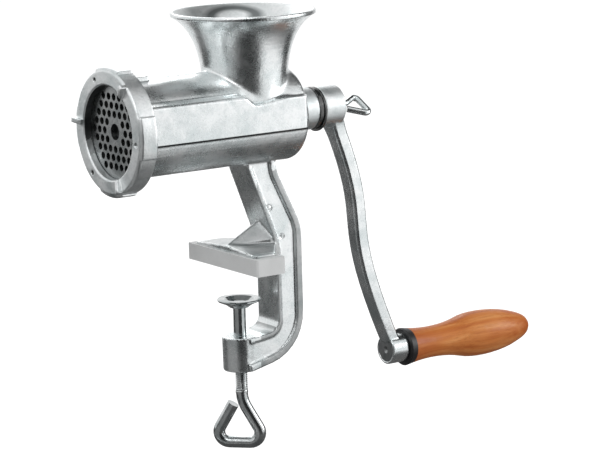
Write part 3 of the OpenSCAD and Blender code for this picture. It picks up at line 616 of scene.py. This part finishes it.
# The ring nut's opening with its rounded edge, and the dimples round it.
OUTLET_R = 0.02935
DIMPLES = 3
FIRST_DIMPLE = math.radians(67)
DIMPLE_AT = 0.0344
DIMPLE_R = 0.0017
DIMPLE_X = (-0.0902, -0.0884)
# The opening's wall takes dark painted shade below the first share of its normal that points up, and
# a lighter painted shade up to the second.
WALL_FACING_UP = (0.25, 0.55)
WALL_SQUARE = 0.85


def in_dimple(at):
    """Whether a spot lies in one of the dimples of the ring nut's front face."""
    for i in range(DIMPLES):
        angle = FIRST_DIMPLE + TURN * i / DIMPLES
        across = at.y - DIMPLE_AT * math.cos(angle)
        above = at.z - AXIS_Z - DIMPLE_AT * math.sin(angle)
        if math.hypot(across, above) < DIMPLE_R:
            return within(at.x, DIMPLE_X)
    return False


def nut_finish(at, facing):
    """The ring nut's dimples take painted shade, and so does its opening's wall, save where it faces
    up.
    """
    to_axis = -(at.y * facing.y + (at.z - AXIS_Z) * facing.z) / off_axis(at)
    if in_dimple(at):
        return "groove"
    dark_below, soft_below = WALL_FACING_UP
    if off_axis(at) < OUTLET_R and to_axis > WALL_SQUARE and facing.z < soft_below:
        return "groove" if facing.z < dark_below else "shaded"
    return "ring"


def make_ring_nut():
    piece = softened("ring_nut", "ring_nut_casting", voxel=0.0004, rounds=5)
    uneven(piece, height=0.0001, size=0.006)
    finished(piece, ("ring", "groove", "shaded"), nut_finish)
    adopt(piece, "ring_nut", "ring_nut")


# ---- clamp screw and thumb screw ----

ROD_R = 0.004
NEAR_ROD_R = 0.0048
PITCH = 0.00125
THREAD_DEPTH = 0.0007
THREAD_TOP = -0.0672
THREAD_END = -0.0818
RING_POINTS = 48
RINGS_A_TURN = 8


def on_shank(face):
    """Whether a face lies on the rod between the thread's two ends."""
    heights = [vert.co.z for vert in face.verts]
    between = THREAD_END - TOUCH <= min(heights) and max(heights) <= THREAD_TOP + TOUCH
    return between and face.calc_center_median().xy.length < NEAR_ROD_R


def cut_out_shank(b):
    """Takes the rod's skin away between the thread's two ends."""
    for height in (THREAD_TOP, THREAD_END):
        everything = b.verts[:] + b.edges[:] + b.faces[:]
        bmesh.ops.bisect_plane(
            b, geom=everything, plane_co=(0, 0, height), plane_no=(0, 0, 1), dist=TOUCH / 10
        )
    shank = [face for face in b.faces if on_shank(face)]
    bmesh.ops.delete(b, geom=shank, context="FACES")
    loose = [edge for edge in b.edges if not edge.link_faces]
    bmesh.ops.delete(b, geom=loose, context="EDGES")


def rim_at(b, height):
    """The open edges that a cut has left at a height."""
    return [
        edge
        for edge in b.edges
        if edge.is_boundary and all(abs(vert.co.z - height) < TOUCH for vert in edge.verts)
    ]


def thread_ring(b, share):
    """A ring of points at a share of the thread's length, whose end quarters grow shallow."""
    height = THREAD_TOP + (THREAD_END - THREAD_TOP) * share
    depth = THREAD_DEPTH * min(1, 4 * share, 4 * (1 - share))
    ring = []
    for k in range(RING_POINTS):
        angle = TURN * (k + 0.5) / RING_POINTS - math.pi
        phase = TURN * height / PITCH - angle
        radius = ROD_R - depth * (0.5 + 0.5 * math.cos(phase))
        ring.append(b.verts.new((radius * math.cos(angle), radius * math.sin(angle), height)))
    return ring


def threaded(piece):
    """Cuts a thread into the straight rod between the lower boss and the bend."""
    b = bmesh.new()
    b.from_mesh(piece.data)
    cut_out_shank(b)
    rims = [rim_at(b, height) for height in (THREAD_TOP, THREAD_END)]
    steps = round((THREAD_TOP - THREAD_END) / PITCH * RINGS_A_TURN)
    rings = [thread_ring(b, i / steps) for i in range(1, steps)]
    for one, two in zip(rings, rings[1:]):
        skin(b, one, two)
    for ring, rim in zip((rings[0], rings[-1]), rims):
        ends = [b.edges.get(pair) for pair in pairs_round(ring)]
        bmesh.ops.bridge_loops(b, edges=ends + rim)
    bmesh.ops.recalc_face_normals(b, faces=b.faces)
    for face in b.faces:
        face.smooth = True
    b.to_mesh(piece.data)
    b.free()


# The loop's strand with the free end lies below a height and beyond a distance from the rod.
LOOP_TOP_Z = -0.083
STRAND_OUT = 0.0022


def longer_end(piece, reach):
    """Draws the loop's free end further along its own line, towards the shank."""
    out = Vector((-1, 1, 0)).normalized()
    along = math.cos(math.pi / 6) * Vector((0, 0, 1)) - math.sin(math.pi / 6) * out
    strand = [
        vert for vert in piece.data.vertices if vert.co.z < LOOP_TOP_Z and vert.co @ out > STRAND_OUT
    ]
    tip = max(vert.co @ along for vert in strand)
    for vert in strand:
        if vert.co @ along > tip - 10 * TOUCH:
            vert.co += reach * along


def make_clamp_screw():
    piece = smoothed("clamp_screw", "clamp_rod", "zinc")
    longer_end(piece, reach=0.002)
    threaded(piece)
    adopt(piece, "clamp_screw", "clamp_screw")


def make_thumb_screw():
    piece = smoothed("thumb_screw", "thumb_wire", "thumb")
    adopt(piece, "thumb_screw", "thumb_screw")


# ---- crank washer ----

SHAFT_R = 0.007
WASHER_R = 0.0142
WASHER_EDGE = 0.0004
# The washer's play to the crank's hub, and how far it hangs down.
WASHER_GAP = 0.0001
WASHER_SAG = 0.0009


def turned(name, profile, axis_z, finish, steps=96):
    """A ring turned about a line along X at a height, from points of x and radius."""
    b = bmesh.new()
    rings = []
    for i in range(steps):
        angle = TURN * i / steps
        out = Vector((0, math.cos(angle), math.sin(angle)))
        rings.append([b.verts.new(Vector((x, 0, axis_z)) + r * out) for x, r in profile])
    for one, two in pairs_round(rings):
        skin(b, one, two)
    bmesh.ops.recalc_face_normals(b, faces=b.faces)
    mesh = bpy.data.meshes.new(name)
    b.to_mesh(mesh)
    b.free()
    mesh.materials.append(looks[finish])
    for face in mesh.polygons:
        face.use_smooth = True
    mesh.set_sharp_from_angle(angle=SHARP_ANGLE)
    return linked(name, mesh)


def make_washer():
    """The black washer behind the crank, which hangs down on its shaft."""
    start, end = (corner[0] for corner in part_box("crank_washer"))
    end -= WASHER_GAP
    bore = SHAFT_R + WASHER_SAG
    rim = WASHER_R - WASHER_EDGE
    profile = [
        (start, bore),
        (start, rim),
        (start + WASHER_EDGE, WASHER_R),
        (end - WASHER_EDGE, WASHER_R),
        (end, rim),
        (end, bore),
    ]
    piece = turned("rubber_washer", profile, AXIS_Z - WASHER_SAG, "rubber")
    adopt(piece, "crank_washer", "crank")


# ---- floor, world and lamps ----

# The floor lies just under the lowest reach of the clamp screw.
FLOOR_GAP = 0.0006
FLOOR_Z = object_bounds()[0][2] + joints["clamp_travel"]["range_m"][0] - FLOOR_GAP
FLOOR_HALF = 9
FLOOR_GREY = (0.5, 0.5, 0.5)
FLOOR_GLOW = (0.64, 0.64, 0.64)
FLOOR_GAIN = 1.2
WHITE = (1, 1, 1)
SKY_LEVEL = 0.55


def emptied(owner):
    """The empty node tree of a new material or world."""
    owner.use_nodes = True
    owner.node_tree.nodes.clear()
    return Tree(owner.node_tree)


def floor_look():
    """A plain floor that takes shadows and that the camera sees nearly white."""
    material = bpy.data.materials.new("floor")
    t = emptied(material)
    lit = t.fill(t.add("ShaderNodeBsdfDiffuse"), Color=FLOOR_GREY)
    glow = t.fill(t.add("ShaderNodeEmission"), Color=FLOOR_GLOW)
    t.fill(glow, Strength=t.towards_camera(straight=FLOOR_GAIN))
    both = t.add("ShaderNodeAddShader")
    t.put(both.inputs[0], lit.outputs[0])
    t.put(both.inputs[1], glow.outputs[0])
    t.fill(t.add("ShaderNodeOutputMaterial"), Surface=both.outputs[0])
    return material


def world_look():
    """A world that lights softly, and is white where the camera or a metal sees it."""
    world = bpy.data.worlds.new("studio")
    t = emptied(world)
    plain = t.fill(t.add("ShaderNodeBackground"), Color=WHITE, Strength=SKY_LEVEL)
    white = t.fill(t.add("ShaderNodeBackground"), Color=WHITE, Strength=1)
    mix = t.fill(t.add("ShaderNodeMixShader"), Fac=t.towards_camera())
    t.put(mix.inputs[1], plain.outputs[0])
    t.put(mix.inputs[2], white.outputs[0])
    t.fill(t.add("ShaderNodeOutputWorld"), Surface=mix.outputs[0])
    return world


def lamp(name, at, aim, size, watts):
    """A soft rectangular lamp that points at aim."""
    data = bpy.data.lights.new(name, "AREA")
    data.shape = "RECTANGLE"
    data.size, data.size_y = size
    data.energy = watts
    light = linked(name, data)
    light.location = at
    light.rotation_mode = "QUATERNION"
    light.rotation_quaternion = (Vector(aim) - Vector(at)).to_track_quat("-Z", "Y")


def staged(name, points, faces, material):
    """A piece of scenery."""
    mesh = bpy.data.meshes.new(name)
    mesh.from_pydata(points, [], faces)
    mesh.materials.append(material)
    piece = linked(name, mesh)
    return piece


# The signs of a rectangle's half sides at its four corners, and its one face.
CORNERS = ((-1, -1), (1, -1), (1, 1), (-1, 1))
ONE_FACE = [(0, 1, 2, 3)]


def make_studio():
    corners = [(sx * FLOOR_HALF, sy * FLOOR_HALF, FLOOR_Z) for sx, sy in CORNERS]
    staged("floor", corners, ONE_FACE, floor_look())
    scene.world = world_look()
    lamp("key", at=(-0.9, -1.1, 1.25), aim=(0, 0, 0.05), size=(0.9, 0.7), watts=9)
    lamp("fill", at=(1.5, -1.0, 0.5), aim=(0.05, 0, 0.02), size=(0.8, 0.8), watts=10)
    lamp("back", at=(0.4, 1.3, 0.9), aim=(0.05, 0, 0.05), size=(1.0, 0.5), watts=5)


# ---- dark cards, which only metals see ----

FLAG_MIDDLE_X = 0.04
FLAG_LIFT = 0.001
FLAG_STEPS = 6
OBJECT_MIDDLE = Vector((0.02, 0, 0.09))
UPWARD = Vector((0, 0, 1))


def card_look(name, shade):
    material = bpy.data.materials.new(name)
    material.use_nodes = True
    shader = material.node_tree.nodes["Principled BSDF"]
    Tree(material.node_tree).fill(shader, Base_Color=(shade, shade, shade), Roughness=0.9)
    return material


def reflected_only(name, points, faces, shade):
    """A card that only shows in what metals reflect."""
    piece = staged(name, points, faces, card_look(name, shade))
    piece.visible_camera = False
    piece.visible_shadow = False
    piece.visible_diffuse = False


def flag(name, azimuth, half, near=0.16, far=1.25, height=1.237, shade=0.02):
    """A card over a sector of the floor, from near to far, and up a wall from there."""
    floor, top = FLOOR_Z + FLAG_LIFT, FLOOR_Z + height
    points, faces = [], []
    for i in range(FLAG_STEPS + 1):
        angle = math.radians(azimuth - half + 2 * half * i / FLAG_STEPS)
        for reach, z in ((near, floor), (far, floor), (far, top)):
            points.append((FLAG_MIDDLE_X + reach * math.cos(angle), reach * math.sin(angle), z))
    for first in range(0, 3 * FLAG_STEPS, 3):
        faces += [(k, k + 1, k + 4, k + 3) for k in (first, first + 1)]
    reflected_only(name, points, faces, shade)


def card(name, at, size, shade, facing):
    """A flat card, square to the direction that it faces."""
    turn = facing.to_track_quat("Z", "Y")
    half = Vector(size) / 2
    points = [Vector(at) + turn @ Vector((sx * half.x, sy * half.y, 0)) for sx, sy in CORNERS]
    reflected_only(name, points, ONE_FACE, shade)


def floor_card(name, x, y, lift, size, shade):
    """A level card just over the floor. No two cards have one lift, so none share a plane."""
    card(name, (x, y, FLOOR_Z + lift), size, shade, facing=UPWARD)


def make_cards():
    flag("flag_front", azimuth=-114, half=31, near=0.1)
    flag("flag_right", azimuth=6, half=17)
    flag("flag_back_left", azimuth=127, half=23, far=1.5, height=0.01, shade=0.06)
    flag("flag_left", azimuth=183, half=33, near=0.1, far=0.9, height=0.3, shade=0.3)
    above = Vector((0.78, 0.12, 1.15))
    card("card_above", above, size=(1.1, 1.1), shade=0.04, facing=above - OBJECT_MIDDLE)
    floor_card("card_below", x=0.17, y=0.165, lift=0.002, size=(0.44, 0.57), shade=0.12)
    floor_card("card_side", x=0.31, y=-0.16, lift=0.0015, size=(0.46, 0.14), shade=0.42)
    floor_card("card_behind", x=0.04, y=0.2, lift=0.003, size=(0.28, 0.26), shade=0.13)


# ---- camera ----

# Solved from the photograph's circles and edges, for a picture of 4 to 3.
AZIMUTH, ELEVATION, ROLL = map(math.radians, (33.895, 10.666, -1.563))
TARGET = Vector((0.047872, 0, 0.019743))
DISTANCE = 1.69792
SENSOR_MM = 36
LENS_MM = 159.91


def make_camera():
    level = math.cos(ELEVATION)
    ahead = Vector((math.sin(AZIMUTH) * level, math.cos(AZIMUTH) * level, -math.sin(ELEVATION)))
    unrolled = Vector((math.cos(AZIMUTH), -math.sin(AZIMUTH), 0))
    right = math.cos(ROLL) * unrolled + math.sin(ROLL) * unrolled.cross(ahead)
    data = bpy.data.cameras.new("camera")
    data.sensor_width = SENSOR_MM
    data.lens = LENS_MM
    data.clip_start, data.clip_end = 0.05, 60
    camera = linked("camera", data)
    place = Matrix((right, right.cross(ahead), -ahead)).transposed().to_4x4()
    place.translation = TARGET - DISTANCE * ahead
    camera.matrix_world = place
    return camera


# ---- the whole ----

for node, finish in finish_of.items():
    dress(node, finish)
make_housing()
make_crank_arm()
make_ring_nut()
make_clamp_screw()
make_thumb_screw()
make_washer()
make_studio()
make_cards()
scene.camera = make_camera()
scene.view_settings.view_transform = "Standard"
